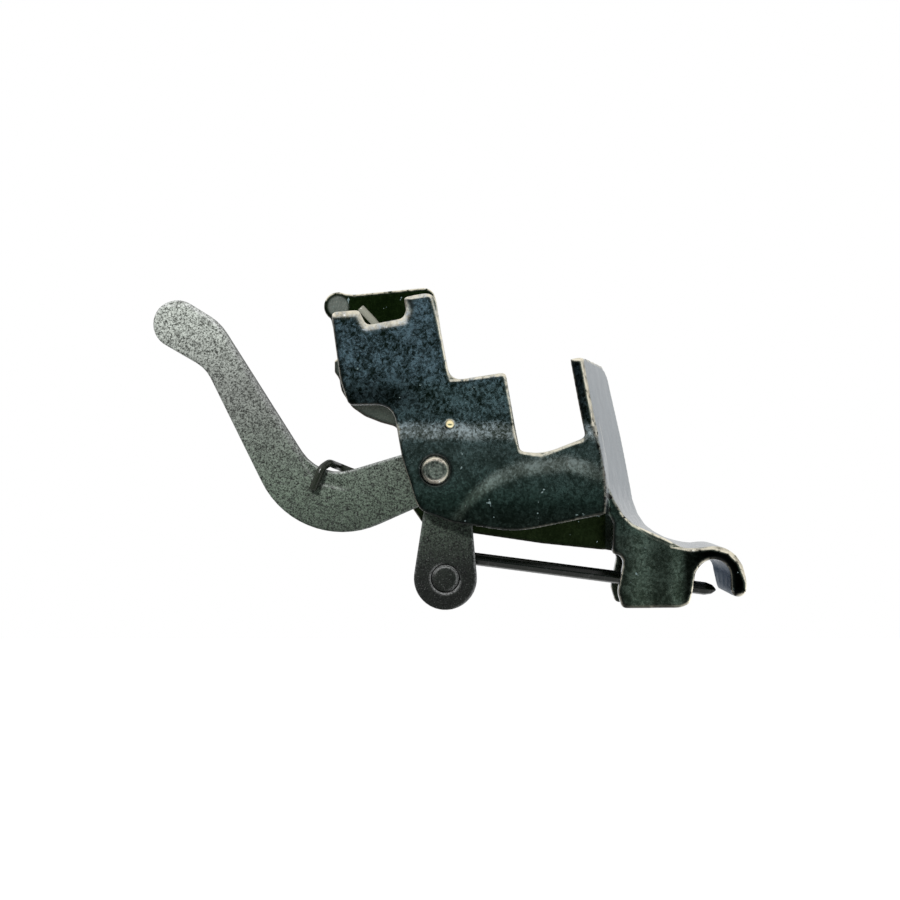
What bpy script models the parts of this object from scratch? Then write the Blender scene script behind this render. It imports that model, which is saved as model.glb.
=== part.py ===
"""Clip-on presser foot holder for a sewing machine: a folded side frame, a front plate with a hook,
a release lever on a rivet with its torsion spring, and a latch rod linked to the lever.

+Z is up, -Y is the front of the machine, and +X goes from the slotted wall towards the presser bar.
The origin is the centre of the screw slot on the slotted wall's inner face. Lengths are in millimetres
until they reach Blender, which gets metres. An outline is a list of (y, z) corners, and a third
number is the radius of the corner's round.
"""

from math import acos, atan2, cos, hypot, pi, radians, sin, tan

import bmesh
import bpy
from mathutils import Vector

MM = 0.001
ACROSS = (radians(90), 0.0, radians(90))  # turns a flat outline into the YZ plane, facing +X

SHEET = 0.85                  # thickness of both folded sheets
SEAM = 0.05                   # gap between the side frame and the front plate
FAR_WALL_X = (4.2, 5.05)
NEAR_WALL_X = (-SHEET, 0.0)
PLATE_X = (-SHEET, 6.0)       # near and far edge of the front plate and of its hook
PLATE_CORNER_R = 0.95         # round at the plate's far upper corner

PIVOT = (7.39, -3.36)         # (y, z) of the lever's axis, parallel to X
PIVOT_R = 0.95
LINK = (6.71, -10.65)         # (y, z) of the link pin's axis, parallel to X
LINK_R = 0.92
PIN_FIT = 0.05                # radial clearance of both pins

LEVER_X = (0.25, 1.75)
LEVER_FOOT_R = 2.13
LEVER_HUB_R = 2.2
LEVER_TIP = (24.77, 6.48)
LEVER_TIP_R = 1.62

BUSH_R = 1.38
SPRING_WIRE_R = 0.28
SPRING_COIL_R = 1.76
SPRING_COIL_X = (2.12, 3.82)
SPRING_TURN = (-73.0, -859.0)  # where the coil starts round the pivot, and its sweep, in degrees

ROD_R = 0.45
ROD_X = 2.42
ROD_EYE_R = 1.445             # centre line of the eye round the link pin
ROD_EYE_TURN = (-175.0, 97.35)
ROD_TIP_Y = -11.8
GUIDE_Z, GUIDE_R = -11.41, 0.76

ROUND_STEP = 0.6              # longest side of a large round's outline
DIMPLE, DIMPLE_R, DIMPLE_DEPTH = (6.41, -0.25), 0.25, 0.3

COLOURS = {  # base colour, metallic, roughness
    "side_frame": ((0.42, 0.45, 0.46), 1.0, 0.2),
    "hook_plate": ((0.45, 0.47, 0.48), 1.0, 0.2),
    "release_lever": ((0.36, 0.37, 0.36), 1.0, 0.5),
    "pivot_rivet": ((0.46, 0.48, 0.48), 1.0, 0.28),
    "pivot_bush": ((0.4, 0.41, 0.42), 1.0, 0.35),
    "torsion_spring": ((0.05, 0.05, 0.05), 1.0, 0.3),
    "latch_rod": ((0.04, 0.04, 0.045), 1.0, 0.25),
    "link_pin": ((0.36, 0.38, 0.36), 1.0, 0.4),
    "link_washer": ((0.4, 0.41, 0.42), 1.0, 0.35),
}


# ---- Outlines ----

def arc(centre, radius, start, end, step=10.0):
    """Points on a circle from one angle to the other, in degrees."""
    count = max(2, round(abs(end - start) / step))
    angles = [radians(start + (end - start) * i / count) for i in range(count + 1)]
    return [(centre[0] + radius * cos(a), centre[1] + radius * sin(a)) for a in angles]


def corner_round(before, corner, after, radius):
    """The points of the arc that rounds one corner. A larger arc has more of them."""
    here = Vector(corner)
    back = (Vector(before) - here).normalized()
    ahead = (Vector(after) - here).normalized()
    half = acos(max(-1.0, min(1.0, back.dot(ahead)))) / 2
    middle = here + (back + ahead).normalized() * (radius / sin(half))
    first = here + back * (radius / tan(half)) - middle
    last = here + ahead * (radius / tan(half)) - middle
    start = atan2(first.y, first.x)
    sweep = (atan2(last.y, last.x) - start + pi) % (2 * pi) - pi
    count = max(2, round(abs(sweep) / min(radians(12.0), ROUND_STEP / radius)))
    angles = [start + sweep * i / count for i in range(count + 1)]
    return [(middle.x + radius * cos(a), middle.y + radius * sin(a)) for a in angles]


def rounded(corners):
    points = []
    for i, corner in enumerate(corners):
        if len(corner) == 2:
            points.append(corner)
            continue
        after = corners[(i + 1) % len(corners)]
        points += corner_round(corners[i - 1][:2], corner[:2], after[:2], corner[2])
    return points


def offset(curve, distance):
    """The curve moved to its left-hand side."""
    moved = []
    for i, point in enumerate(curve):
        a, b = curve[max(i - 1, 0)], curve[min(i + 1, len(curve) - 1)]
        along = Vector((b[0] - a[0], b[1] - a[1])).normalized()
        moved.append((point[0] - along.y * distance, point[1] + along.x * distance))
    return moved


def near_wall_outline():
    """Notch in the top edge, open screw slot at the front, pivot lobe at the lower rear."""
    return rounded([
        (14.36, 7.22, 0.3), (12.5, 7.36, 0.12), (11.98, 6.34, 0.3), (9.55, 6.8, 0.35),
        (9.33, 7.35, 0.2), (9.52, 8.2, 0.12), (7.4, 8.6, 0.72), (7.13, 6.61, 2.0),
        (6.38, 2.62, 0.8), (2.68, 3.2, 0.25), (2.1, -0.15, 3.0), (1.74, -2.06, 0.3),
        (0.3, -2.3, 3.5), (-2.4, -1.25, 0.3), (-2.9, -0.6), (-3.6, -1.2), (-4.6, -5.4),
        (-4.75, -5.95), (-4.0, -6.2, 0.2), (2.0, -7.45, 8.0), (6.3, -6.8, 1.0), (8.5, -6.0, 1.3),
        (9.58, -2.6, 4.0), (10.22, 1.02, 1.2), (13.15, 1.0, 0.4), (13.72, 2.6, 2.0),
    ])


def cheek_outline():
    """Both foot cheeks: from the top of the rear edge round to the top under the plate."""
    return rounded([
        (-4.5, -6.4, 0.1), (-4.42, -8.95, 0.1), (-4.85, -8.98, 0.25), (-5.2, -9.4, 0.3),
        (-4.78, -11.5, 0.8), (-5.1, -12.57, 0.3), (-9.0, -12.55, 1.0), (-9.62, -12.25, 0.2),
        (-9.85, -11.2, 1.5), (-9.98, -10.2), (-10.3, -9.75), (-10.35, -9.2),
        (-8.0, -7.9), (-6.3, -7.15), (-5.3, -6.75),
    ])


def far_wall_outline():
    """The far wall, with its ear at the top and the tongue at the rear of its step."""
    ear = arc((14.17, 7.98), 1.0, 118, -60, 15)
    return ear + rounded([
        (14.3, 5.4), (14.15, 4.4), (14.42, 4.2), (14.42, 3.4), (14.1, 2.95),
        (13.95, 2.1, 0.8), (13.2, 0.95, 0.8), (12.3, 0.33, 1.0), (11.2, -0.1, 0.8), (10.2, -0.37, 0.6),
        (9.85, -0.8), (9.6, -5.2, 1.0), (7.95, -7.6, 0.5), (4.75, -7.8, 2.0), (0.0, -8.5, 2.0),
        (-4.36, -8.95, 0.1), (-4.44, -6.3), (-6.6, -5.9), (-6.2, -3.9), (4.6, -3.9, 0.8),
        (5.0, 2.7, 0.5), (6.5, 2.75), (7.33, 8.3), (7.62, 9.33, 0.8), (13.1, 8.8),
    ])


def front_wall_outline():
    """The wall across the front of the foot block, a little inside both cheeks' front edges."""
    return [(-9.5, -12.3), (-9.9, -10.2), (-10.2, -9.2), (-9.25, -9.2), (-9.1, -10.2), (-8.65, -12.3)]


def web_outline():
    """The fold that joins the two walls along the front of the upper block."""
    return [(7.42, 7.3), (7.35, 6.61), (6.72, 3.6), (7.56, 3.45), (8.2, 6.5), (8.28, 7.25)]


def lever_outline():
    """A bell crank: a long rear arm with a round tip, and a short arm down to the link pin."""
    tip = arc(LEVER_TIP, LEVER_TIP_R, 126.7, -63.4)
    foot = arc(LINK, LEVER_FOOT_R, 8, -184)
    hub = arc(PIVOT, LEVER_HUB_R, 185, 32)
    under = rounded([tip[-1], (22.85, 3.5, 2.4), (16.51, -9.37, 6.05), (8.09, -5.64, 0.3), foot[0]])
    over = rounded([hub[-1], (15.25, -4.0, 3.0), (22.0, 6.66, 3.5), tip[0]])
    return tip + under[1:-1] + foot + hub + over[1:-1]


# The front plate's outer face from its top down to the hook, at its near edge and at its far edge.
PLATE_NEAR = [
    (-2.4, 4.24), (-2.9, 1.51), (-3.39, -0.96), (-3.74, -2.75), (-4.06, -4.28), (-4.5, -5.3),
    (-5.12, -6.32), (-5.86, -7.02), (-6.58, -7.58), (-7.34, -8.02), (-8.33, -8.37), (-9.59, -8.58),
]
PLATE_FAR = [
    (-4.55, 3.77), (-5.1, 1.32), (-5.65, -1.1), (-5.98, -2.75), (-6.29, -4.4), (-6.48, -5.5),
    (-6.83, -6.47), (-7.36, -7.27), (-8.0, -7.74), (-8.72, -8.12), (-9.4, -8.33), (-10.0, -8.45),
]
HOOK_TOP = [
    (-10.45, -8.5), (-11.0, -8.43), (-11.5, -8.42), (-12.13, -8.6), (-12.72, -9.03),
    (-13.16, -9.7), (-13.4, -10.55), (-13.43, -11.3), (-13.24, -11.72), (-12.82, -11.84),
    (-12.48, -11.72), (-12.36, -11.4),
]
GROOVE_NEAR = arc((-11.2, -10.45), 1.14, 180, 45, 15)
GROOVE_FAR = arc((-11.1, -10.4), 1.03, 180, 45, 15)


def plate_section(face, groove):
    """The closed section: down the outer face, over the hook, round its groove, up the inner face."""
    return face + HOOK_TOP + groove + offset(face, SHEET)[::-1]


def plate_clearance(face):
    """All that lies in front of the plate's inner face, with the seam's gap."""
    inner = offset(face, SHEET + SEAM)
    above = (inner[0][0] + 0.3, inner[0][1] + 2.0)
    return [above] + inner + [(-10.5, -9.66), (-17.0, -9.66), (-17.0, 7.0)]


# ---- Shapes ----

def to_mesh_object(obj):
    """The mesh of a curve as an object of the same name and place, with its caps welded."""
    bpy.context.view_layer.update()
    mesh = bpy.data.meshes.new_from_object(obj.evaluated_get(bpy.context.evaluated_depsgraph_get()))
    body = bmesh.new()
    body.from_mesh(mesh)
    bmesh.ops.remove_doubles(body, verts=body.verts, dist=1e-7)
    body.to_mesh(mesh)
    body.free()
    name, place, collection = obj.name, obj.matrix_world.copy(), obj.users_collection[0]
    bpy.data.objects.remove(obj, do_unlink=True)
    made = bpy.data.objects.new(name, mesh)
    made.matrix_world = place
    collection.objects.link(made)
    return made


def flat_piece(name, outline, x_range, collection, axis=(0.0, 0.0)):
    """An outline extruded from one x to the other, with its origin on the axis at (y, z)."""
    curve = bpy.data.curves.new(name, "CURVE")
    curve.dimensions = "2D"
    curve.fill_mode = "BOTH"
    curve.extrude = (x_range[1] - x_range[0]) / 2 * MM
    spline = curve.splines.new("POLY")
    spline.points.add(len(outline) - 1)
    for point, (y, z) in zip(spline.points, outline):
        point.co = ((y - axis[0]) * MM, (z - axis[1]) * MM, 0.0, 1.0)
    spline.use_cyclic_u = True
    obj = bpy.data.objects.new(name, curve)
    obj.location = ((x_range[0] + x_range[1]) / 2 * MM, axis[0] * MM, axis[1] * MM)
    obj.rotation_euler = ACROSS
    collection.objects.link(obj)
    return to_mesh_object(obj)


def turned_piece(name, profile, axis, collection, steps=32):
    """A profile of (radius, x), from high x to low x, turned about the X axis through (y, z)."""
    mesh = bpy.data.meshes.new(name)
    closed = hypot(profile[0][0] - profile[-1][0], profile[0][1] - profile[-1][1]) < 1e-6
    points = profile[:-1] if closed else profile
    edges = [(i, (i + 1) % len(points)) for i in range(len(profile) - 1)]
    mesh.from_pydata([(r * MM, 0.0, x * MM) for r, x in points], edges, [])
    obj = bpy.data.objects.new(name, mesh)
    obj.location = (0.0, axis[0] * MM, axis[1] * MM)
    obj.rotation_euler = ACROSS
    collection.objects.link(obj)
    screw = obj.modifiers.new("turn", "SCREW")
    screw.axis = "Z"
    screw.steps = screw.render_steps = steps
    screw.use_merge_vertices = True
    screw.merge_threshold = 1e-6
    screw.use_smooth_shade = True
    return obj


def ring_profile(outer, inner, x_range):
    low, high = x_range
    return [(outer, high), (outer, low), (inner, low), (inner, high), (outer, high)]


def wire_piece(name, path, radius, collection, origin, tip=()):
    """A round wire. tip holds the radius factors of the last points."""
    curve = bpy.data.curves.new(name, "CURVE")
    curve.dimensions = "3D"
    curve.bevel_depth = radius * MM
    curve.bevel_resolution = 2
    curve.use_fill_caps = True
    spline = curve.splines.new("POLY")
    spline.points.add(len(path) - 1)
    factors = [1.0] * (len(path) - len(tip)) + list(tip)
    for point, place, factor in zip(spline.points, path, factors):
        point.co = (*[(a - b) * MM for a, b in zip(place, origin)], 1.0)
        point.radius = factor
    obj = bpy.data.objects.new(name, curve)
    obj.location = [a * MM for a in origin]
    collection.objects.link(obj)
    return obj


def cylinder_cutter(name, radius, centre, length, rotation, collection, sides=32):
    bpy.ops.mesh.primitive_cylinder_add(
        vertices=sides, radius=radius * MM, depth=length * MM,
        location=[a * MM for a in centre], rotation=rotation)
    obj = bpy.context.object
    obj.name = name
    for owner in list(obj.users_collection):
        owner.objects.unlink(obj)
    collection.objects.link(obj)
    return obj


def loft(name, near, far, x_range, steps, collection):
    """A body between two sections of equal length, which lie at the plate's near and far edges."""
    count = len(near)
    verts = []
    for i in range(steps + 1):
        x = x_range[0] + (x_range[1] - x_range[0]) * i / steps
        t = (x - PLATE_X[0]) / (PLATE_X[1] - PLATE_X[0])
        verts += [(x * MM, (a[0] + (b[0] - a[0]) * t) * MM, (a[1] + (b[1] - a[1]) * t) * MM)
                  for a, b in zip(near, far)]
    faces = [tuple(range(count)), tuple(range(steps * count, (steps + 1) * count))[::-1]]
    for ring in range(steps):
        for i in range(count):
            a, b = ring * count + i, ring * count + (i + 1) % count
            faces.append((b, a, a + count, b + count))
    mesh = bpy.data.meshes.new(name)
    mesh.from_pydata(verts, [], faces)
    body = bmesh.new()
    body.from_mesh(mesh)
    bmesh.ops.recalc_face_normals(body, faces=body.faces)
    bmesh.ops.triangulate(body, faces=body.faces)
    body.to_mesh(mesh)
    body.free()
    obj = bpy.data.objects.new(name, mesh)
    collection.objects.link(obj)
    return obj


def boolean(target, other, operation):
    modifier = target.modifiers.new(other.name, "BOOLEAN")
    modifier.operation = operation
    modifier.solver = "EXACT"
    modifier.object = other


def shade_smooth(obj):
    if obj.type == "MESH":
        obj.data.shade_smooth()
        obj.data.set_sharp_from_angle(angle=radians(30))


# ---- Parts ----

def make_side_frame(parts, tools):
    """The slotted wall, the fold along the upper block, and the far wall."""
    frame = flat_piece("side_frame", near_wall_outline(), NEAR_WALL_X, parts)
    dimple = cylinder_cutter("dimple_cut", DIMPLE_R, (-SHEET, *DIMPLE), 2 * DIMPLE_DEPTH, ACROSS, tools, 16)
    boolean(frame, dimple, "DIFFERENCE")
    web_x = (NEAR_WALL_X[0] * 0.7, FAR_WALL_X[0] + 0.4)
    boolean(frame, flat_piece("frame_web", web_outline(), web_x, tools), "UNION")
    boolean(frame, flat_piece("frame_far_wall", far_wall_outline(), FAR_WALL_X, tools), "UNION")
    bore = cylinder_cutter("pivot_cut", PIVOT_R + PIN_FIT, (2.0, *PIVOT), 12.0, ACROSS, tools)
    boolean(frame, bore, "DIFFERENCE")
    seam = loft("seam_cut", plate_clearance(PLATE_NEAR), plate_clearance(PLATE_FAR), (-2.0, 8.0), 4, tools)
    boolean(frame, seam, "DIFFERENCE")
    return frame


def make_hook_plate(parts, tools):
    """The flared plate and the hook below it, with the foot block's three walls under the bend."""
    near, far = plate_section(PLATE_NEAR, GROOVE_NEAR), plate_section(PLATE_FAR, GROOVE_FAR)
    plate = loft("hook_plate", near, far, PLATE_X, 4, parts)
    front_x = (NEAR_WALL_X[0] + 0.12, FAR_WALL_X[1] - 0.12)
    blocks = (
        flat_piece("near_cheek", cheek_outline(), NEAR_WALL_X, tools),
        flat_piece("far_cheek", cheek_outline(), FAR_WALL_X, tools),
        flat_piece("front_wall", front_wall_outline(), front_x, tools),
    )
    for block in blocks:
        boolean(plate, block, "UNION")
    guide_place = (ROD_X, -9.5, GUIDE_Z)
    guide = cylinder_cutter("guide_cut", GUIDE_R, guide_place, 4.2, (radians(90), 0.0, 0.0), tools, 24)
    boolean(plate, guide, "DIFFERENCE")
    centre_x, centre_z = PLATE_X[1] - PLATE_CORNER_R, 2.7
    corner = arc((centre_x, centre_z), PLATE_CORNER_R, 90, 0, 15)
    corner += [(PLATE_X[1] + 1.0, centre_z), (PLATE_X[1] + 1.0, 6.0), (centre_x, 6.0)]
    cutter = flat_piece("corner_cut", corner, (-3.5, 3.5), tools)
    cutter.rotation_euler = (radians(90), 0.0, 0.0)
    cutter.location = (0.0, -5.0 * MM, 0.0)
    boolean(plate, cutter, "DIFFERENCE")
    return plate


def make_release_lever(parts, tools):
    lever = flat_piece("release_lever", lever_outline(), LEVER_X, parts, PIVOT)
    for name, place, radius in (("lever_bore", PIVOT, PIVOT_R), ("link_bore", LINK, LINK_R)):
        cutter = cylinder_cutter(name, radius + PIN_FIT, (1.0, *place), 5.0, ACROSS, tools)
        boolean(lever, cutter, "DIFFERENCE")
    return lever


def make_pivot_rivet(parts):
    """Flush on the near side, with a domed head on the far side."""
    far = FAR_WALL_X[1]
    profile = [
        (0.0, far + 0.68), (0.55, far + 0.64), (1.05, far + 0.5), (1.34, far + 0.25), (1.4, far + 0.05),
        (PIVOT_R, far + 0.05), (PIVOT_R, -SHEET + 0.12), (PIVOT_R - 0.17, -SHEET + 0.03),
        (PIVOT_R - 0.4, -SHEET - 0.02), (0.0, -SHEET - 0.04),
    ]
    return turned_piece("pivot_rivet", profile, PIVOT, parts)


def make_pivot_bush(parts):
    profile = ring_profile(BUSH_R, PIVOT_R + PIN_FIT, (LEVER_X[1] + 0.06, FAR_WALL_X[0] - 0.05))
    return turned_piece("pivot_bush", profile, PIVOT, parts)


def make_link_pin(parts):
    """Flush in the lever's near face, with a small head behind the washer."""
    near = LEVER_X[0]
    profile = [
        (0.0, 3.9), (0.6, 3.85), (1.08, 3.7), (1.22, 3.44), (LINK_R, 3.44), (LINK_R, near + 0.12),
        (LINK_R - 0.15, near + 0.01), (LINK_R - 0.4, near - 0.02), (0.0, near - 0.03),
    ]
    return turned_piece("link_pin", profile, LINK, parts)


def make_link_washer(parts):
    return turned_piece("link_washer", ring_profile(1.55, LINK_R + PIN_FIT, (2.98, 3.38)), LINK, parts)


def bent_wire(points, radius):
    """The path through the points, with each bend made a short curve."""
    path = [Vector(points[0])]
    for before, here, after in zip(points, points[1:], points[2:]):
        here = Vector(here)
        first = here + (Vector(before) - here).normalized() * radius
        last = here + (Vector(after) - here).normalized() * radius
        path += [first * (1 - t) ** 2 + here * 2 * t * (1 - t) + last * t * t
                 for t in (0.0, 0.25, 0.5, 0.75, 1.0)]
    return path + [Vector(points[-1])]


def make_torsion_spring(parts):
    """The free leg hooks over the lever's upper edge. The fixed leg ends inside the upper block."""
    near_x, far_x = SPRING_COIL_X
    coil = []
    steps = 56
    for i in range(steps + 1):
        angle = radians(SPRING_TURN[0] + SPRING_TURN[1] * i / steps)
        coil.append(Vector((near_x + (far_x - near_x) * i / steps,
                            PIVOT[0] + SPRING_COIL_R * cos(angle), PIVOT[1] + SPRING_COIL_R * sin(angle))))
    free = [(-0.1, 15.62, -4.68), (-0.14, 15.02, -3.22), (0.55, 14.55, -2.86), (near_x, 13.95, -3.15),
            (near_x, 13.1, -3.5)]
    fixed = [(far_x, 11.55, 6.75), (far_x, 12.6, 7.85)]
    path = bent_wire(free + [coil[0]], 0.33)[:-1] + coil + bent_wire([coil[-1]] + fixed, 0.4)[1:]
    return wire_piece("torsion_spring", path, SPRING_WIRE_R, parts, (0.0, *PIVOT))


def make_latch_rod(parts):
    """The eye goes round the link pin, and the straight run ends in a pointed tip in the hook."""
    path = [(ROD_X, y, z) for y, z in arc(LINK, ROD_EYE_R, *ROD_EYE_TURN, 11)]
    start = Vector(path[-1])
    along = Vector((0.0, -cos(radians(ROD_EYE_TURN[1] - 90)), -sin(radians(ROD_EYE_TURN[1] - 90))))
    length = (start.y - ROD_TIP_Y) / -along.y
    path += [start + along * length * t for t in (0.3, 0.96, 0.985, 1.0)]
    return wire_piece("latch_rod", path, ROD_R, parts, (ROD_X, *LINK), (1.0, 1.0, 0.72, 0.16))


def give_material(obj):
    colour, metallic, roughness = COLOURS[obj.name]
    material = bpy.data.materials.new(obj.name)
    material.use_nodes = True
    shader = material.node_tree.nodes["Principled BSDF"]
    shader.inputs["Base Color"].default_value = (*colour, 1.0)
    shader.inputs["Metallic"].default_value = metallic
    shader.inputs["Roughness"].default_value = roughness
    obj.data.materials.append(material)


def hang_on_axis(pieces, collection):
    """Parents the pieces that turn with the lever to an empty on its axis."""
    axis = bpy.data.objects.new("lever_axis", None)
    axis.location = (0.0, PIVOT[0] * MM, PIVOT[1] * MM)
    axis.empty_display_size = 4 * MM
    collection.objects.link(axis)
    bpy.context.view_layer.update()
    for piece in pieces:
        piece.parent = axis
        piece.matrix_parent_inverse = axis.matrix_world.inverted()


def main():
    for obj in list(bpy.data.objects):
        bpy.data.objects.remove(obj, do_unlink=True)
    parts = bpy.data.collections.new("presser_foot_holder")
    tools = bpy.data.collections.new("cutters")
    for collection in (parts, tools):
        bpy.context.scene.collection.children.link(collection)
    make_side_frame(parts, tools)
    make_hook_plate(parts, tools)
    make_pivot_rivet(parts)
    make_pivot_bush(parts)
    make_latch_rod(parts)
    turning = [make_release_lever(parts, tools), make_link_pin(parts), make_link_washer(parts),
               make_torsion_spring(parts)]
    for piece in parts.objects:
        give_material(piece)
        shade_smooth(piece)
    for cutter in tools.objects:
        cutter.hide_render = True
        cutter.display_type = "WIRE"
    hang_on_axis(turning, parts)


main()
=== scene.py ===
"""The looks of the clip-on presser foot holder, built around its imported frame."""

from math import radians

import bpy
import numpy as np
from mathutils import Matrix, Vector
from mathutils.bvhtree import BVHTree


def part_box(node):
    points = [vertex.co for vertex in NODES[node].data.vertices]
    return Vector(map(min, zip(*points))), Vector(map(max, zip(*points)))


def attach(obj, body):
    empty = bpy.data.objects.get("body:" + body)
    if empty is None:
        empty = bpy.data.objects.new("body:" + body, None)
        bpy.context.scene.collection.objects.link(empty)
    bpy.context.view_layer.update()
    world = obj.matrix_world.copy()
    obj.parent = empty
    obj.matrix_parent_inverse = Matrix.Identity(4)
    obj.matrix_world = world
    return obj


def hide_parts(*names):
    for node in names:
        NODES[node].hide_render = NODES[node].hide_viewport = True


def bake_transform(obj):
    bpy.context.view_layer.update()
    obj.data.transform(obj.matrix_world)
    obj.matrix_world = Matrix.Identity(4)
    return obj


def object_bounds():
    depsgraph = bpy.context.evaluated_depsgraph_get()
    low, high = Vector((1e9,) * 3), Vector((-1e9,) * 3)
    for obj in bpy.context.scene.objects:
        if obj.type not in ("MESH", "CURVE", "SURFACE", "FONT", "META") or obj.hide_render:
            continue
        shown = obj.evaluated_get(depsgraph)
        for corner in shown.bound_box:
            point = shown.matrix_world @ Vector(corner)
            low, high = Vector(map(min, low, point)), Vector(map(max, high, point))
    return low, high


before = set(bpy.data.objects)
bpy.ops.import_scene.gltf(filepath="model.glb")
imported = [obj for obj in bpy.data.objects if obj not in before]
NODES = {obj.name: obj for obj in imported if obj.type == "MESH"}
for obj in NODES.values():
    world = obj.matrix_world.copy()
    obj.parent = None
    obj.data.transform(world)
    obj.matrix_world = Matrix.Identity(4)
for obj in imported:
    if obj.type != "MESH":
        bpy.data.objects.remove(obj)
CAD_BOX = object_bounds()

MM = 0.001
SHEET = 0.85                     # thickness of the folded sheet
NEAR_FACE_X = -SHEET             # outer face of the slotted wall
FAR_WALL_X = (4.2, 5.05)
SHEET_GRAIN, WIRE_GRAIN, TURNED_GRAIN = (0.08, 4), (0.05, 3), (0.05, 2)  # voxel size, smoothing rounds


# ---- Mesh work ----

SOFTEN_STEP = 0.6                # share of the way to the neighbours' mean in one round
CURVATURE_SCALE = 4              # from the height over the neighbours' mean to a curvature
FRONT_LIGHT, BACK_LIGHT = 0.8, 0.15  # how far front and back edges count as lit ones
UPWARD, BACKWARD = (-0.05, 0.4), (0.2, 0.6)


def smoothstep(value, low, high):
    t = np.clip((value - low) / (high - low), 0.0, 1.0)
    return t * t * (3 - 2 * t)


def ridge(value, centre, width):
    """One at the centre, falling to nothing at the width on both sides."""
    return 1.0 - smoothstep(np.abs(value - centre), 0.0, width)


def line_distance(y, z, line):
    """The distance from each (y, z) to a polyline."""
    best = np.full(len(y), np.inf)
    for (ay, az), (by, bz) in zip(line, line[1:]):
        dy, dz = by - ay, bz - az
        t = np.clip(((y - ay) * dy + (z - az) * dz) / (dy * dy + dz * dz), 0.0, 1.0)
        best = np.minimum(best, np.hypot(y - ay - t * dy, z - az - t * dz))
    return best


def ends_of(mesh):
    ends = np.empty(len(mesh.edges) * 2, np.int32)
    mesh.edges.foreach_get("vertices", ends)
    return ends.reshape(-1, 2)


def neighbour_mean(values, ends):
    """The mean over each point's neighbours."""
    a, b = np.concatenate([ends[:, 0], ends[:, 1]]), np.concatenate([ends[:, 1], ends[:, 0]])
    count = np.maximum(np.bincount(a, minlength=len(values)), 1)
    sums = [np.bincount(a, weights=values[b, i], minlength=len(values)) for i in range(values.shape[1])]
    return np.stack(sums, axis=1) / count[:, None]


def soften(points, ends, weight, rounds):
    """Smooths more where the weight is higher, which widens the rounds of the edges there."""
    for _ in range(rounds):
        points = points + (neighbour_mean(points, ends) - points) * weight[:, None] * SOFTEN_STEP
    return points


def normals_of(mesh):
    normals = np.empty(len(mesh.vertices) * 3, np.float32)
    mesh.vertices.foreach_get("normal", normals)
    return normals.reshape(-1, 3)


def set_attribute(mesh, name, values):
    mesh.attributes.new(name, "FLOAT", "POINT").data.foreach_set("value", values.astype(np.float32))


def set_colours(mesh, name, colours):
    """One colour per point, from an array of (red, green, blue)."""
    full = np.concatenate([colours, np.ones((len(colours), 1))], axis=1)
    data = mesh.attributes.new(name, "FLOAT_COLOR", "POINT").data
    data.foreach_set("color", full.astype(np.float32).ravel())


def prism(outline, x_range):
    """Corners and faces of an outline of (y, z) points, drawn out along X."""
    count = len(outline)
    verts = [Vector((x, y, z)) for x in x_range for y, z in outline]
    sides = [[i, (i + 1) % count, count + (i + 1) % count, count + i] for i in range(count)]
    return verts, sides + [list(range(count))[::-1], list(range(count, 2 * count))]


def joined_copy(nodes, name, filler=None):
    """One mesh in millimetres of the CAD nodes. A node's points at a seam reach into the one after it."""
    verts, faces = filler or ([], [])
    for node in reversed(nodes):
        mesh = NODES[node].data
        here = [v.co / MM for v in mesh.vertices]
        if node != nodes[-1]:
            tree = BVHTree.FromPolygons(verts, faces)
            here = [co + Vector(SEAM_REACH) if tree.find_nearest(co)[3] < SEAM_NEAR else co for co in here]
        first = len(verts)
        verts += here
        faces += [[first + i for i in face.vertices] for face in mesh.polygons]
    mesh = bpy.data.meshes.new(name)
    mesh.from_pydata(verts, [], faces)
    work = bpy.data.objects.new(name, mesh)
    bpy.context.scene.collection.objects.link(work)
    return work


def shape_copy(nodes, name, voxel, smoothing, change=None, filler=None):
    """A fine copy of CAD nodes: even faces, softly broken edges, then change(points, ends) in millimetres."""
    work = joined_copy(nodes, name, filler)
    remesh = work.modifiers.new("even", "REMESH")
    remesh.mode = "VOXEL"
    remesh.voxel_size = voxel
    smooth = work.modifiers.new("soft", "SMOOTH")
    smooth.factor = 0.5
    smooth.iterations = smoothing
    bpy.context.view_layer.update()
    done = bpy.data.meshes.new_from_object(work.evaluated_get(bpy.context.evaluated_depsgraph_get()))
    work.modifiers.clear()
    work.data = done
    points = np.empty(len(done.vertices) * 3, np.float32)
    done.vertices.foreach_get("co", points)
    points = points.reshape(-1, 3).astype(float)
    ends = ends_of(done)
    if change:
        points = change(points, ends)
    done.vertices.foreach_set("co", points.astype(np.float32).ravel())
    done.update()
    normals = normals_of(done)
    convex = ((points - neighbour_mean(points, ends)) * normals).sum(axis=1) * CURVATURE_SCALE / voxel ** 2
    arris = neighbour_mean(smoothstep(convex, *ARRIS_CURVATURE)[:, None], ends)[:, 0]
    flank = neighbour_mean(smoothstep(convex, *FLANK_CURVATURE)[:, None], ends)[:, 0]
    # Painted light: a highlight on arrises that face up, to the front or back, and shade on arrises that
    # don't face up or to the front.
    upward = smoothstep(np.maximum(normals[:, 2], -FRONT_LIGHT * normals[:, 1]), *UPWARD)
    backward = BACK_LIGHT * smoothstep(normals[:, 1], *BACKWARD)
    set_attribute(done, "arris", arris * np.maximum(upward, backward))
    set_attribute(done, "shade", flank * (1.0 - upward))
    done.vertices.foreach_set("co", (points * MM).astype(np.float32).ravel())
    done.shade_smooth()
    done.update()
    return work, points, normals


# ---- Relief of the pressed sheet ----

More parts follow.
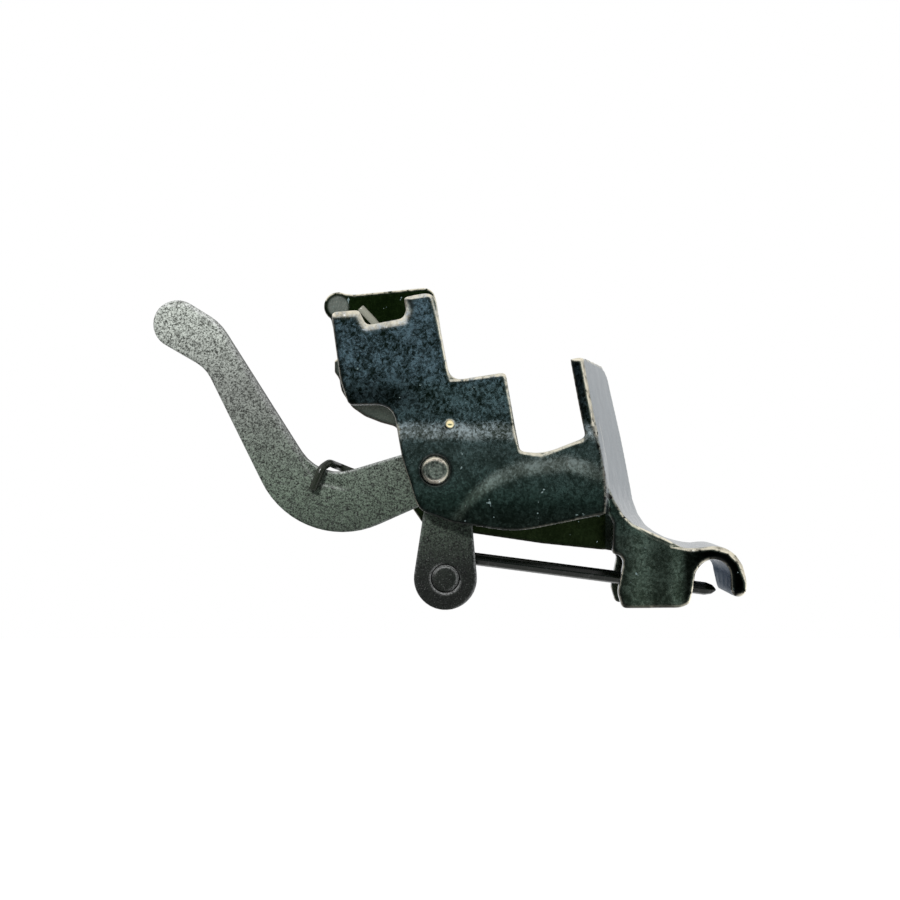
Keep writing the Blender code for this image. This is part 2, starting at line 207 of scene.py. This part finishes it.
SEAM_NEAR, SEAM_REACH = 0.09, (0.0, -0.3, 0.0)
BEAD, BEAD_R, BEAD_HEIGHT = (6.41, -0.25), 0.31, 0.2
PIVOT = (7.39, -3.36)
EAR = (14.17, 7.98)
FAR_WEDGE = [(-4.0, -6.0), (-4.0, -6.9), (-5.3, -7.1), (-6.1, -7.35), (-6.2, -6.9), (-5.8, -5.9)]
ARRIS_CURVATURE, FLANK_CURVATURE = (0.9, 3.5), (0.4, 1.8)
JOG_DEPTH, JOG_DROP, JOG_WAVE, JOG_WAVE_RATE = 0.36, (-0.2, 1.7), 0.06, 2.3
DOME_DEPTH, DOME_SLOPE = 0.37, (-0.7, 1.3)
REAR_STEEPNESS, REAR_Y = 0.4, (2.0, 5.0)
FOLD_Y = (-4.3, -3.8)            # the relief fades out here, before the fold to the foot block
WALL_X, WALL_Y = 0.5, -4.6       # the relief moves only what is nearer and further back than this
ROLL_DEPTH, ROLL_X = 0.16, (0.3, 0.8)
BLOCK_SOFT, LIP_SOFT, SHELF_SOFT, RIM_SOFT, HOOK_SOFT, MOST_SOFT = 0.3, 0.7, 0.3, 0.6, 0.5, 0.9
SOFT_ROUNDS = 14
RIM_Y = [-4.6, -3.5, -1.4, 1.73, 3.5, 5.2, 6.3, 7.0]
RIM_Z = [-4.2, -3.2, -2.6, -2.95, -3.75, -5.1, -6.6, -8.0]


def rim_depth(y, z):
    """How far inside the dome's curved rim a point of the slotted wall lies."""
    slope = np.gradient(RIM_Z, RIM_Y)
    return (np.interp(y, RIM_Y, RIM_Z) - z) / np.hypot(1.0, np.interp(y, RIM_Y, slope))


NOTCH = [(13.95, 7.25), (12.5, 7.3), (12.0, 6.35), (9.55, 6.75), (9.3, 7.35), (9.45, 8.15)]
BLOCK_CORNER = [(9.45, 8.15), (7.65, 8.45), (7.13, 6.6), (6.35, 2.7)]
SHELF_TOP = [(6.35, 2.7), (2.75, 3.1), (2.15, -0.1)]
MIDDLE_LINE = [(2.15, -0.1), (1.75, -2.1), (0.3, -2.3), (-2.4, -1.3)]
PLATE_TOP = [(-1.5, 4.35), (-2.4, 4.24)]
PLATE_LINE = [(-2.4, 4.24), (-2.9, 1.51), (-3.39, -0.96)]
FOLD_LINE = [(-4.06, -4.28), (-4.5, -5.3), (-5.12, -6.32), (-5.86, -7.02), (-7.0, -7.8), (-8.33, -8.37)]
HOOK_NECK = [(-8.33, -8.4), (-9.6, -8.6), (-11.4, -8.45)]
HOOK_CROWN = [(-11.3, -8.45), (-12.2, -8.7), (-13.0, -9.5), (-13.4, -10.6)]
HOOK_TOE = [(-12.75, -11.8), (-13.3, -11.65)]
GLOWS = ((NOTCH, 0.65, 0.95), (BLOCK_CORNER, 0.22, 0.7), (SHELF_TOP, 0.15, 0.7), (MIDDLE_LINE, 0.14, 0.7),
         (PLATE_TOP, 0.4, 1.0), (PLATE_LINE, 0.2, 0.8), (FOLD_LINE, 0.1, 0.4), (HOOK_NECK, 0.13, 0.8),
         (HOOK_CROWN, 0.28, 1.0), (HOOK_TOE, 0.18, 0.9))


def edge_glow(y, z):
    """Where the near side's edges are rolled and catch the light, most round the notch and the hook."""
    return np.max([top * (1.0 - smoothstep(line_distance(y, z, line), 0.0, width))
                   for line, width, top in GLOWS], axis=0)


def wall_relief(y, z):
    """How far the slotted wall stands out: a jog below the upper block and a dome under a curved rim."""
    jog = smoothstep(-z + JOG_WAVE * np.sin(y * JOG_WAVE_RATE), *JOG_DROP)
    dome = smoothstep(rim_depth(y, z) * (1.0 + REAR_STEEPNESS * smoothstep(y, *REAR_Y)), *DOME_SLOPE)
    return (JOG_DEPTH * jog + DOME_DEPTH * dome) * smoothstep(y, *FOLD_Y)


def press_sheet(points, ends):
    """Widens the rounded edges by region, then presses in the bead, the relief and the rolled edges."""
    x, y, z = points.T
    block = smoothstep(z, 1.4, 2.2) * (x < 0.4)
    lip = smoothstep(z, 5.9, 6.5) * (y > 8.9) * (x < 0.6)
    shelf = smoothstep(z, -3.2, -1.8) * (x < 0.4) * (y < 8.5)
    rim = smoothstep(-y, 1.8, 2.2) * (x < 0.2)
    hook = smoothstep(-y, 9.4, 10.2) * smoothstep(z, -9.8, -9.0)
    weight = BLOCK_SOFT * block + LIP_SOFT * lip + SHELF_SOFT * shelf + RIM_SOFT * rim + HOOK_SOFT * hook
    points = soften(points, ends, np.clip(weight, 0.0, MOST_SOFT), SOFT_ROUNDS)
    x, y, z = points.T
    reach = np.hypot(y - BEAD[0], z - BEAD[1])
    bead = (reach < BEAD_R) & (x < -0.4)
    points[bead, 0] = NEAR_FACE_X - BEAD_HEIGHT * (1 - (reach[bead] / BEAD_R) ** 2)
    wall = (x < WALL_X) & (y > WALL_Y)
    points[:, 0] -= wall_relief(y, z) * wall
    points[:, 0] += ROLL_DEPTH * edge_glow(y, z) ** 2 * smoothstep(-x, *ROLL_X)
    return points


# ---- Materials ----

def new_material(name):
    material = bpy.data.materials.new(name)
    material.use_nodes = True
    tree = material.node_tree
    return material, tree, tree.nodes["Principled BSDF"]


def noise(tree, scale, detail=4.0, roughness=0.6, distortion=0.0, stretch=(1.0, 1.0, 1.0)):
    """Noise in object space. scale is in features per millimetre."""
    where = tree.nodes.new("ShaderNodeTexCoord").outputs["Object"]
    mapping = tree.nodes.new("ShaderNodeMapping")
    mapping.inputs["Scale"].default_value = [s * scale / MM for s in stretch]
    tree.links.new(where, mapping.inputs["Vector"])
    node = tree.nodes.new("ShaderNodeTexNoise")
    node.inputs["Scale"].default_value = 1.0
    node.inputs["Detail"].default_value = detail
    node.inputs["Roughness"].default_value = roughness
    node.inputs["Distortion"].default_value = distortion
    tree.links.new(mapping.outputs["Vector"], node.inputs["Vector"])
    return node.outputs["Fac"]


def attribute(tree, name):
    node = tree.nodes.new("ShaderNodeAttribute")
    node.attribute_name = name
    return node.outputs["Fac"]


def colour_attribute(tree, name):
    node = tree.nodes.new("ShaderNodeAttribute")
    node.attribute_name = name
    return node.outputs["Color"]


def ramp(tree, value, stops):
    node = tree.nodes.new("ShaderNodeValToRGB")
    elements = node.color_ramp.elements
    while len(elements) < len(stops):
        elements.new(0.5)
    for element, (place, colour) in zip(elements, stops):
        element.position = place
        element.color = (*colour, 1.0)
    tree.links.new(value, node.inputs["Fac"])
    return node.outputs["Color"]


def grey(value):
    return (value, value, value)


def steps(tree, value, low, high, top=1.0):
    """0 below low, top above high."""
    return ramp(tree, value, [(low, grey(0.0)), (high, grey(top))])


def maths(tree, operation, a, b):
    node = tree.nodes.new("ShaderNodeMath")
    node.operation = operation
    node.use_clamp = True
    for value, socket in ((a, node.inputs[0]), (b, node.inputs[1])):
        if isinstance(value, float):
            socket.default_value = value
        else:
            tree.links.new(value, socket)
    return node.outputs[0]


def blend(tree, factor, a, b, kind="MIX"):
    node = tree.nodes.new("ShaderNodeMix")
    node.data_type = "RGBA"
    node.blend_type = kind
    for value, socket in ((factor, node.inputs[0]), (a, node.inputs[6]), (b, node.inputs[7])):
        if isinstance(value, float):
            socket.default_value = value
        elif isinstance(value, tuple):
            socket.default_value = (*value, 1.0)
        else:
            tree.links.new(value, socket)
    return node.outputs[2]


def bump(tree, heights, shader):
    """Adds bumps one on another. heights is (socket, depth in millimetres)."""
    normal = None
    for height, depth in heights:
        node = tree.nodes.new("ShaderNodeBump")
        node.inputs["Distance"].default_value = depth * MM
        tree.links.new(height, node.inputs["Height"])
        if normal:
            tree.links.new(normal, node.inputs["Normal"])
        normal = node.outputs["Normal"]
    tree.links.new(normal, shader.inputs["Normal"])


CREAM_HIGHLIGHT = (0.9, 0.84, 0.68)        # painted highlight on lit edges, broken up like wear
BEAD_GLINT_GOLD = (1.0, 0.86, 0.5)
SATIN_LOW, SATIN_HIGH = (0.122, 0.148, 0.168), (0.152, 0.185, 0.208)
LIT_SPOT_LOW, LIT_SPOT_HIGH = (0.72, 0.59, 0.52), (1.0, 0.87, 0.78)
GROOVE_SHADE_TINT = (0.2, 0.23, 0.27)
WIRE_WORN, WIRE_LIT_SPOT = 0.08, (0.16, 0.16, 0.13)
GRIT_STRENGTH, GRIT_TONE, EDGE_LIGHT_STRENGTH, EDGE_LIGHT_TONE = 0.14, 0.35, 0.5, 0.5
SHADE_BLACK, SHADE_STRENGTH = 0.01, 0.9
PLATE_ROUGHNESS, EDGE_ROUGHNESS = (0.18, 0.28), 0.5
PIT_DEPTH, WAVE_DEPTH, DENT_DEPTH, MARK_DEPTH = 0.006, 0.05, 0.04, 0.002


def plated_steel(name, low, middle, high, zones=False):
    """Stained nickel plate: mottled, with pale specks, a painted highlight on upper arrises and painted shade
    on lower ones.
    """
    material, tree, shader = new_material(name)
    shader.inputs["Metallic"].default_value = 1.0
    fine = noise(tree, 4.2, 5.0, 0.75, 0.6)
    patches = noise(tree, 0.7, 3.0, 0.6)
    level = maths(tree, "ADD", maths(tree, "MULTIPLY", fine, 0.7), maths(tree, "MULTIPLY", patches, 0.3))
    base = ramp(tree, level, [(0.42, low), (0.5, middle), (0.58, high)])
    broken = steps(tree, noise(tree, 2.4, 3.0, 0.7), 0.36, 0.5)
    wear_and_edge_light = steps(tree, noise(tree, 1.5, 4.0, 0.7), 0.3, 0.62)
    specks = steps(tree, noise(tree, 2.2, 2.0, 0.5), 0.72, 0.75)
    if zones:
        base = blend(tree, attribute(tree, "even"), base, middle)
        # Multiplies in the per-point tint, which holds painted sheen and painted shade as well.
        base = blend(tree, 1.0, base, colour_attribute(tree, "tint_and_painted_light"), "MULTIPLY")
        satin = ramp(tree, level, [(0.4, SATIN_LOW), (0.6, SATIN_HIGH)])
        base = blend(tree, attribute(tree, "satin"), base, satin)
        # Painted highlight: pale cream on the far wall's lit spots.
        lit_spot = ramp(tree, fine, [(0.35, LIT_SPOT_LOW), (0.65, LIT_SPOT_HIGH)])
        base = blend(tree, attribute(tree, "lit_spot"), base, lit_spot)
        specks = maths(tree, "MULTIPLY", specks, maths(tree, "SUBTRACT", 1.0, attribute(tree, "satin")))
    # Painted highlight on the rolled edges, broken up.
    glow = maths(tree, "MULTIPLY", attribute(tree, "glow"), wear_and_edge_light)
    base = blend(tree, glow, base, CREAM_HIGHLIGHT)
    base = blend(tree, specks, base, grey(1.0))
    # Painted shade on arrises facing down, then a broken painted highlight on those facing up, to the front
    # or back.
    base = blend(tree, maths(tree, "MULTIPLY", attribute(tree, "shade"), SHADE_STRENGTH), base, grey(SHADE_BLACK))
    base = blend(tree, maths(tree, "MULTIPLY", attribute(tree, "arris"), broken), base, CREAM_HIGHLIGHT)
    if zones:
        # Painted shadow along the plate's sheared near edges, broken up.
        gaps = steps(tree, noise(tree, 2.6, 3.0, 0.7), 0.54, 0.49)
        base = blend(tree, maths(tree, "MULTIPLY", attribute(tree, "burr_shadow"), gaps), base, grey(SHADE_BLACK))
        # Painted glint: gold on the bead.
        base = blend(tree, attribute(tree, "bead"), base, BEAD_GLINT_GOLD)
    tree.links.new(base, shader.inputs["Base Color"])
    smooth, coarse = PLATE_ROUGHNESS
    rough = ramp(tree, fine, [(0.35, grey(smooth)), (0.7, grey(coarse))])
    rough = blend(tree, glow, rough, grey(EDGE_ROUGHNESS))
    tree.links.new(rough, shader.inputs["Roughness"])
    # Painted shade: a dimmer, tinted reflection in the hook's groove.
    groove_shade = blend(tree, attribute(tree, "groove"), grey(1.0), GROOVE_SHADE_TINT)
    tree.links.new(groove_shade, shader.inputs["Specular Tint"])
    waves = noise(tree, 0.3, 2.0, 0.5)
    bump(tree, [(waves, WAVE_DEPTH), (fine, PIT_DEPTH)], shader)
    return material


def tumbled_steel(name, dark, pale):
    """Steel tumbled to a matt grey: fine dents and scratches all over and faint darker clouds."""
    material, tree, shader = new_material(name)
    shader.inputs["Metallic"].default_value = 0.25
    shader.inputs["Specular IOR Level"].default_value = 0.2
    grain = noise(tree, 9.0, 3.0, 0.8, 0.3)
    scratches = noise(tree, 5.5, 3.0, 0.7, 0.8, (1.0, 0.8, 1.2))
    clouds = noise(tree, 0.6, 3.0, 0.6)
    mixed = maths(tree, "ADD", maths(tree, "MULTIPLY", grain, 0.6), maths(tree, "MULTIPLY", scratches, 0.4))
    fine = ramp(tree, mixed, [(0.43, dark), (0.57, pale)])
    wide = ramp(tree, clouds, [(0.3, grey(0.8)), (0.7, grey(1.0))])
    base = blend(tree, 1.0, fine, wide, "MULTIPLY")
    # Painted light and shade by height: paler towards the tip, darker towards the link.
    base = blend(tree, 1.0, base, colour_attribute(tree, "light_and_shade"), "MULTIPLY")
    grit = steps(tree, noise(tree, 11.0, 2.0, 0.6), 0.6, 0.7, GRIT_STRENGTH)
    base = blend(tree, grit, base, grey(GRIT_TONE))
    # Painted highlight on arrises that face up, to the front or back.
    wear_and_edge_light = maths(tree, "MULTIPLY", attribute(tree, "arris"), steps(tree, grain, 0.35, 0.6, EDGE_LIGHT_STRENGTH))
    base = blend(tree, wear_and_edge_light, base, grey(EDGE_LIGHT_TONE))
    tree.links.new(base, shader.inputs["Base Color"])
    rough = ramp(tree, grain, [(0.3, grey(0.5)), (0.7, grey(0.65))])
    tree.links.new(rough, shader.inputs["Roughness"])
    bump(tree, [(mixed, DENT_DEPTH)], shader)
    return material


def black_wire(name, tint, roughness):
    """Blackened, polished wire with fine drawing marks, a few spots of wear and a painted highlight on the
    spring's fixed end.
    """
    material, tree, shader = new_material(name)
    wear_and_edge_light = noise(tree, 2.5, 4.0, 0.7)
    base = ramp(tree, wear_and_edge_light, [(0.55, tint), (0.85, grey(WIRE_WORN))])
    # Painted highlight on the spring's fixed end.
    base = blend(tree, attribute(tree, "lit_spot"), base, WIRE_LIT_SPOT)
    tree.links.new(base, shader.inputs["Base Color"])
    marks = noise(tree, 12.0, 2.0, 0.5)
    rough = ramp(tree, marks, [(0.3, grey(roughness)), (0.7, grey(roughness + 0.08))])
    tree.links.new(rough, shader.inputs["Roughness"])
    shader.inputs["Specular IOR Level"].default_value = 0.3
    bump(tree, [(marks, MARK_DEPTH)], shader)
    return material


# ---- Pieces ----

def dress(piece, material, body, nodes):
    piece.data.materials.clear()
    piece.data.materials.append(material)
    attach(piece, body)
    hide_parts(*nodes)
    return piece


HEIGHTS = [-12.5, -8.0, -5.5, -2.0, 0.0, 2.0, 3.0, 9.0]
RED = [1.06, 1.0, 0.78, 1.56, 1.44, 1.5, 1.75, 1.8]
GREEN = [0.81, 0.77, 0.8, 1.29, 1.26, 1.34, 1.53, 1.57]
BLUE = [0.56, 0.56, 0.6, 1.12, 1.2, 1.28, 1.6, 1.7]
STEEL_TINT = np.array([1.6, 1.3, 1.2])
SHADE_OLIVE, SHADE_BROWN = [0.26, 0.3, 0.07], [0.45, 0.4, 0.13]
FACING = (0.4, 0.8)              # how square a normal is to an axis before it counts as facing it
FOOT_GAIN = 1.7
BLOCK_BAND, HOOD, TIP, SILL, BY_BEAD, DARKEST = 0.7, 0.8, 0.85, 0.5, 0.6, 0.9
BORE_R = 1.3
FAR_INNER_X, BEHIND_FOLD_Y, NEAR_SKIN_X = (4.0, 4.5), -4.4, -0.5
FOLD_HIDDEN, SILL_HIDDEN = 0.85, 0.8
EAR_LIT, TONGUE_LIT, LUG_LIT = 0.8, 0.42, 0.4
PLATING = ((0.01, 0.018, 0.012), (0.085, 0.12, 0.13), (0.22, 0.31, 0.355))


def sheet_tint_and_painted_light(points, normals):
    """The tint of the plate at each point: blue on the block, green below, darker patches, painted sheen and
    shade on the foot block, and painted shade in brown and olive on the far wall's inner face.
    """
    x, y, z = points.T
    tint = np.stack([np.interp(z, HEIGHTS, values) for values in (RED, GREEN, BLUE)], axis=1)
    foot = smoothstep(-y, 4.2, 5.0) * smoothstep(-z, 4.0, 6.5)
    # Painted sheen in two bands across the foot block, and painted shade at its front bend.
    foot_sheen_and_bend_shade = 0.62 + 0.8 * ridge(y, -6.3, 1.2) + 0.8 * ridge(y, -8.7, 0.7) - 0.5 * smoothstep(-y, 9.0, 9.5)
    tint *= (1.0 + foot * (FOOT_GAIN * foot_sheen_and_bend_shade - 1.0))[:, None]
    # Darker patches: a band along the lower edge of the upper block towards the rear, the front plate's top,
    # the hook's tip, the lower wall and a spot beside the bead.
    block_band = ridge(z, 1.6, 1.9) * smoothstep(y, 7.0, 10.5)
    hood = smoothstep(z, -2.0, 2.5) * (y < -1.8)
    tip = np.minimum(smoothstep(-y, 9.6, 10.6) * (z > -9.8) + smoothstep(-y, 11.4, 12.2), 1.0)
    sill = smoothstep(-z, 4.6, 6.2) * (y > -3.9)
    by_bead = ridge(np.hypot(y - BEAD[0] - 0.3, z - BEAD[1] + 0.3), 0.0, 0.5)
    dark = BLOCK_BAND * block_band + HOOD * hood + TIP * tip + SILL * sill + BY_BEAD * by_bead
    tint *= 1.0 - np.clip(dark, 0.0, DARKEST)[:, None]
    # Painted shade on the far wall's inner face behind the fold: olive higher up, brown lower down.
    far_inner = (x > FAR_INNER_X[0]) * (x < FAR_INNER_X[1]) * (y > BEHIND_FOLD_Y)
    far_inner = (far_inner * smoothstep(-normals[:, 0], *FACING))[:, None]
    near_inner = (x > NEAR_SKIN_X) * (x < 0.3) * (y > BEHIND_FOLD_Y)
    near_inner = (near_inner * smoothstep(normals[:, 0], *FACING))[:, None]
    low = smoothstep(-z, 3.0, 5.0)[:, None]
    inside = low * SHADE_BROWN + (1 - low) * SHADE_OLIVE
    tint = tint + (inside - tint) * far_inner
    plain = near_inner + smoothstep(normals[:, 0], *FACING)[:, None] * (x > 4.6)[:, None]
    return tint + (STEEL_TINT - tint) * np.clip(plain, 0.0, 1.0)


def read_attribute(mesh, name):
    values = np.empty(len(mesh.vertices), np.float32)
    mesh.attributes[name].data.foreach_get("value", values)
    return values


def darken_arrises(mesh, points):
    """Turns the painted highlight into painted shade on the rivet's bore and on arrises low on the near side.
    """
    x, y, z = points.T
    bore = np.hypot(y - PIVOT[0], z - PIVOT[1]) < BORE_R
    fold = (y < -2.5) * (y > -4.9) * (z < -0.4) * (z > -6.9) * (x < -0.3)
    sill = (y < 8.5) * (y > -4.9) * (z < -5.4) * (z > -8.6)
    lit, dark = read_attribute(mesh, "arris"), read_attribute(mesh, "shade")
    hidden = np.maximum(bore, np.maximum(FOLD_HIDDEN * fold, SILL_HIDDEN * sill))
    for name, values in (("arris", lit * (1 - hidden)), ("shade", np.minimum(dark + lit * hidden, 1.0))):
        mesh.attributes[name].data.foreach_set("value", values.astype(np.float32))


def make_sheet():
    """The side frame and the front plate as one folded sheet."""
    nodes = ("side_frame", "hook_plate")
    filler = prism(FAR_WEDGE, FAR_WALL_X)
    sheet, points, normals = shape_copy(nodes, "folded_sheet", *SHEET_GRAIN, press_sheet, filler)
    x, y, z = points.T
    mesh = sheet.data
    near = x < NEAR_SKIN_X
    set_colours(mesh, "tint_and_painted_light", sheet_tint_and_painted_light(points, normals))
    # Painted shade in the hook's groove: a dimmer, tinted reflection there.
    groove = (y < -10.0) * (z < -9.2) * (x > -0.6) * smoothstep(normals[:, 1], 0.2, 0.6)
    satin = 1.0 - smoothstep(np.abs(normals[:, 0]), 0.3, 0.7)
    set_attribute(mesh, "satin", satin * (1.0 - 0.8 * groove))
    set_attribute(mesh, "groove", groove)
    set_attribute(mesh, "glow", edge_glow(y, z) * near)
    set_attribute(mesh, "even", np.maximum(0.45 * smoothstep(-z, 0.5, 2.0), 0.7 * smoothstep(x, -0.5, 0.0)))
    darken_arrises(mesh, points)
    # Painted highlights on the far wall's lit ear, tongue and lug.
    ear = smoothstep(-np.hypot(y - EAR[0], z - EAR[1]), -0.8, -0.6)
    tongue = smoothstep(y, 9.9, 10.3) * (z < 2.4)
    lug = smoothstep(y, 13.9, 14.1) * (z < 5.0)
    lit_spot = np.max([EAR_LIT * ear, TONGUE_LIT * tongue, LUG_LIT * lug], axis=0)
    set_attribute(mesh, "lit_spot", lit_spot * (x > FAR_INNER_X[0]) * (x < FAR_INNER_X[1]))
    # Painted shadow along the sheared near edges that face forward.
    burr_shadow = smoothstep(-normals[:, 1], 0.05, 0.35) * (x < -0.68) * (z > -7.2) * (z < 0.6) * (y < -2.5)
    burr_shadow *= smoothstep(-normals[:, 0], 0.1, 0.4)
    set_attribute(mesh, "burr_shadow", burr_shadow)
    # Painted glint on the bead.
    set_attribute(mesh, "bead", smoothstep(-np.hypot(y - BEAD[0], z - BEAD[1]), -0.3, -0.2) * near)
    dress(sheet, plated_steel("stained_plating_and_painted_light", *PLATING, zones=True),
          "frame", nodes)


RIVET_PLATING = ((0.15, 0.13, 0.11), (0.56, 0.5, 0.43), (0.89, 0.8, 0.69))
RIVET_OUT, RIVET_SPREAD, RIVET_HEAD_X = 0.3, 0.05, -0.9
RIVET_RIM_R, RIVET_RIM_WIDTH = 0.9, 0.16


def make_rivet():
    """The rivet, set: its near head stands out with the domed wall and is spread a little."""
    def set_out(points, ends):
        near = np.clip(-points[:, 0] / SHEET, 0.0, 1.0)
        points[:, 0] -= RIVET_OUT * near
        points[:, 1:] += (points[:, 1:] - PIVOT) * RIVET_SPREAD * (points[:, :1] < RIVET_HEAD_X)
        return points

    rivet, points, _ = shape_copy(("pivot_rivet",), "pivot_rivet_set", *WIRE_GRAIN, set_out)
    radius = np.hypot(points[:, 1] - PIVOT[0], points[:, 2] - PIVOT[1])
    # Painted highlight: a ring round the near head.
    rim = ridge(radius, RIVET_RIM_R, RIVET_RIM_WIDTH) * (points[:, 0] < RIVET_HEAD_X)
    set_attribute(rivet.data, "glow", rim)
    dress(rivet, plated_steel("rivet_plating", *RIVET_PLATING),
          "frame", ("pivot_rivet",))


make_sheet()
make_rivet()

STEEL = ((0.2, 0.22, 0.22), (0.4, 0.42, 0.42), (0.6, 0.62, 0.6))
ROD_BLACK, SPRING_BLACK = ((0.004, 0.006, 0.003), 0.16), ((0.008, 0.01, 0.006), 0.22)  # tint, roughness
LEVER_DARK, LEVER_PALE = (0.008, 0.01, 0.006), (0.32, 0.34, 0.31)
LIGHT_FALL_Z = [-12.5, -10.0, -8.5, -6.0, -5.0, -1.0, 2.0, 3.7, 6.5]
LIGHT_FALL_TONE = [0.018, 0.026, 0.1, 0.23, 0.28, 0.4, 0.49, 0.59, 0.97]
LEVER_TOP = [(25.5, 8.0), (24.0, 8.0), (22.0, 6.66), (15.25, -4.0), (13.5, -4.4)]
LEVER_ROLL_DEPTH, LEVER_ROLL_WIDTH, LEVER_ROLL_X = 0.14, 0.5, (-1.0, -0.4)
LOW_SHADE_TINT = [0.0, 0.25, 0.02]
PIN_LIGHT_GAIN = 1.5
SPRING_LIT_Z = (3.0, 4.0)       # painted highlight on the fixed end above this


def paint_light_by_height(piece, points, factor=1.0):
    """Painted light and shade: paler towards the lever's tip, and darker and greener towards the link."""
    light_and_shade = np.interp(points[:, 2], LIGHT_FALL_Z, LIGHT_FALL_TONE) * factor
    low_shade = smoothstep(-points[:, 2], -2.0, 7.0)[:, None]
    set_colours(piece.data, "light_and_shade", light_and_shade[:, None] * (1.0 + low_shade * LOW_SHADE_TINT))
    return piece


def roll_lever_top(points, ends):
    """Rolls the near top edge of the lever inwards."""
    x, y, z = points.T
    edge = 1.0 - smoothstep(line_distance(y, z, LEVER_TOP), 0.0, LEVER_ROLL_WIDTH)
    points[:, 0] += LEVER_ROLL_DEPTH * edge ** 2 * smoothstep(-x, *LEVER_ROLL_X)
    return points


blank, blank_points, _ = shape_copy(("release_lever",), "lever_blank", *SHEET_GRAIN, roll_lever_top)
dress(paint_light_by_height(blank, blank_points), tumbled_steel("lever_steel_look", LEVER_DARK, LEVER_PALE),
      "lever", ("release_lever",))
bush = shape_copy(("pivot_bush",), "pivot_bush_turned", *TURNED_GRAIN)[0]
dress(bush, plated_steel("bush_plating", *STEEL), "frame", ("pivot_bush",))
pin, pin_points, _ = shape_copy(("link_pin",), "link_pin_set", *WIRE_GRAIN)
dress(paint_light_by_height(pin, pin_points, PIN_LIGHT_GAIN), tumbled_steel("pin_steel_look", LEVER_DARK, LEVER_PALE),
      "lever", ("link_pin",))
washer = shape_copy(("link_washer",), "link_washer_flat", *TURNED_GRAIN)[0]
dress(washer, plated_steel("washer_plating", *STEEL), "lever", ("link_washer",))
rod = shape_copy(("latch_rod",), "latch_rod_wire", *WIRE_GRAIN)[0]
dress(rod, black_wire("rod_black", *ROD_BLACK), "latch", ("latch_rod",))

spring, spring_points, _ = shape_copy(("torsion_spring",), "torsion_spring_wire", *WIRE_GRAIN)
set_attribute(spring.data, "lit_spot", smoothstep(spring_points[:, 2], *SPRING_LIT_Z))
spring.data.materials.append(black_wire("spring_black", *SPRING_BLACK))
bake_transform(spring)
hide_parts("torsion_spring")


# ---- Stage ----

FLOOR_DROP = 160 * MM
CARD_CENTRE, CARD_SIZE, CARD_COLOUR = (-0.35, 0.006, -0.035), (1.6, 0.4), (0.16, 0.225, 0.225)
SPOT_PLACE, SPOT_CONE, SPOT_WATTS = (-0.09, 0.045, 0.05), 36.0, 0.8
LENS, CAMERA_DISTANCE, CAMERA_Y, CAMERA_Z = 72.0, 0.12, 6.4 * MM, -2.0 * MM


def make_floor(height):
    bpy.ops.mesh.primitive_plane_add(size=3.0, location=(0.0, 0.0, height))
    floor = bpy.context.object
    floor.name = "floor"
    material, _, shader = new_material("pale_floor")
    shader.inputs["Base Color"].default_value = (0.85, 0.85, 0.85, 1.0)
    shader.inputs["Roughness"].default_value = 0.9
    shader.inputs["Emission Color"].default_value = (1.0, 1.0, 1.0, 1.0)
    shader.inputs["Emission Strength"].default_value = 0.5
    floor.data.materials.append(material)


def make_card(name, centre, size, normal, colour):
    """A card that only reflections and light see."""
    bpy.ops.mesh.primitive_plane_add(size=1.0, location=centre)
    card = bpy.context.object
    card.name = name
    card.scale = (size[0], size[1], 1.0)
    card.rotation_euler = Vector(normal).to_track_quat("Z", "Y").to_euler()
    material, _, shader = new_material(name)
    shader.inputs["Base Color"].default_value = (0.0, 0.0, 0.0, 1.0)
    shader.inputs["Roughness"].default_value = 1.0
    shader.inputs["Specular IOR Level"].default_value = 0.0
    shader.inputs["Emission Color"].default_value = (*colour, 1.0)
    shader.inputs["Emission Strength"].default_value = 1.0
    card.data.materials.append(material)
    card.visible_camera = False
    card.visible_shadow = False


def spot_light(name, place, target, cone, watts, lit):
    """A soft-edged spot on the lit pieces only. cone is its full angle in degrees."""
    data = bpy.data.lights.new(name, "SPOT")
    data.energy = watts
    data.spot_size = radians(cone)
    data.spot_blend = 1.0
    data.shadow_soft_size = 0.008
    light = bpy.data.objects.new(name, data)
    light.location = place
    light.rotation_euler = (Vector(target) - Vector(place)).to_track_quat("-Z", "Y").to_euler()
    bpy.context.scene.collection.objects.link(light)
    light.light_linking.receiver_collection = bpy.data.collections.new(name + "_lit")
    for piece in lit:
        light.light_linking.receiver_collection.objects.link(piece)


def make_world():
    world = bpy.data.worlds.new("studio")
    bpy.context.scene.world = world
    world.use_nodes = True
    background = world.node_tree.nodes["Background"]
    background.inputs["Color"].default_value = (1.0, 1.0, 1.0, 1.0)
    background.inputs["Strength"].default_value = 1.0


def make_camera():
    """Level, square to the slotted wall, 120 mm from it, with a field 60 mm wide there."""
    near_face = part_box("side_frame")[0].x
    data = bpy.data.cameras.new("camera")
    data.lens = LENS
    data.clip_start = 0.001
    camera = bpy.data.objects.new("camera", data)
    camera.location = (near_face - CAMERA_DISTANCE, CAMERA_Y, CAMERA_Z)
    camera.rotation_euler = (radians(90), 0.0, radians(-90))
    bpy.context.scene.collection.objects.link(camera)
    bpy.context.scene.camera = camera


make_world()
make_floor(CAD_BOX[0][2] - FLOOR_DROP)
make_card("dark_card_near", CARD_CENTRE, CARD_SIZE, (1, 0, 0), CARD_COLOUR)
lever_tip = Vector((0.0, 24.8, 6.5)) * MM
spot_light("lever_spot", SPOT_PLACE, lever_tip, SPOT_CONE, SPOT_WATTS, (blank, pin, spring))
make_camera()
bpy.context.scene.view_settings.view_transform = "Standard"
